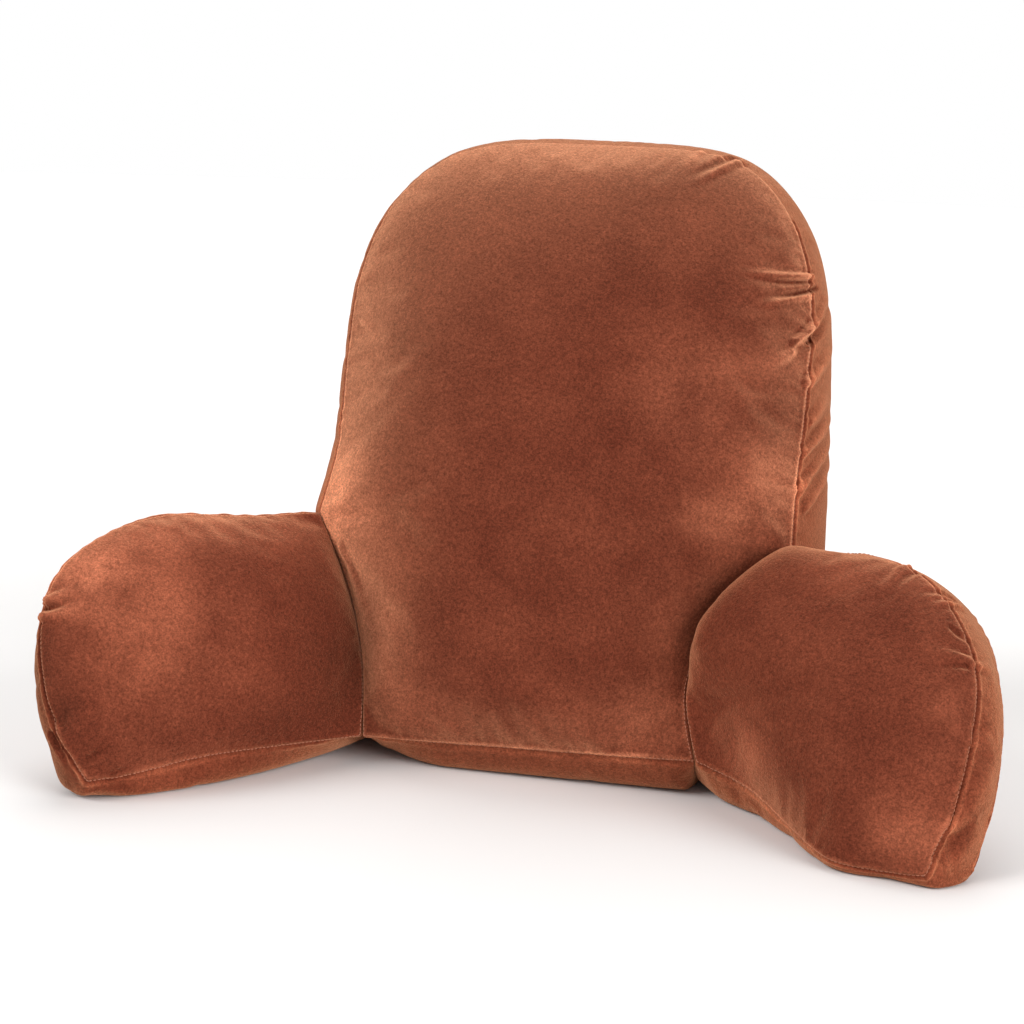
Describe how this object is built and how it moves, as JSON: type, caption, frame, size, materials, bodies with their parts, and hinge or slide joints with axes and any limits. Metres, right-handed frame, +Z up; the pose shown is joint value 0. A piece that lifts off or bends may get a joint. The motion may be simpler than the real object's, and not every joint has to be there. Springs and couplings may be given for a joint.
{
  "type": "reading pillow with arms",
  "caption": "Filled reading pillow: a wedge backrest with a rounded top between two splayed, mitten-shaped arms, in short-pile velvet.",
  "frame": {"origin": "on the floor, under the middle of the bounding box", "axes": "+X across the width, to the right as seen from the front; +Y to the back; +Z up"},
  "size_m": [0.8274, 0.4897, 0.5625],
  "materials": {
    "backrest_velvet": "rust short-pile velvet",
    "arm_left_velvet": "rust short-pile velvet",
    "arm_right_velvet": "rust short-pile velvet"
  },
  "bodies": {
    "root": {"backrest": "backrest_velvet", "arm_left": "arm_left_velvet", "arm_right": "arm_right_velvet"}
  },
  "joints": []
}
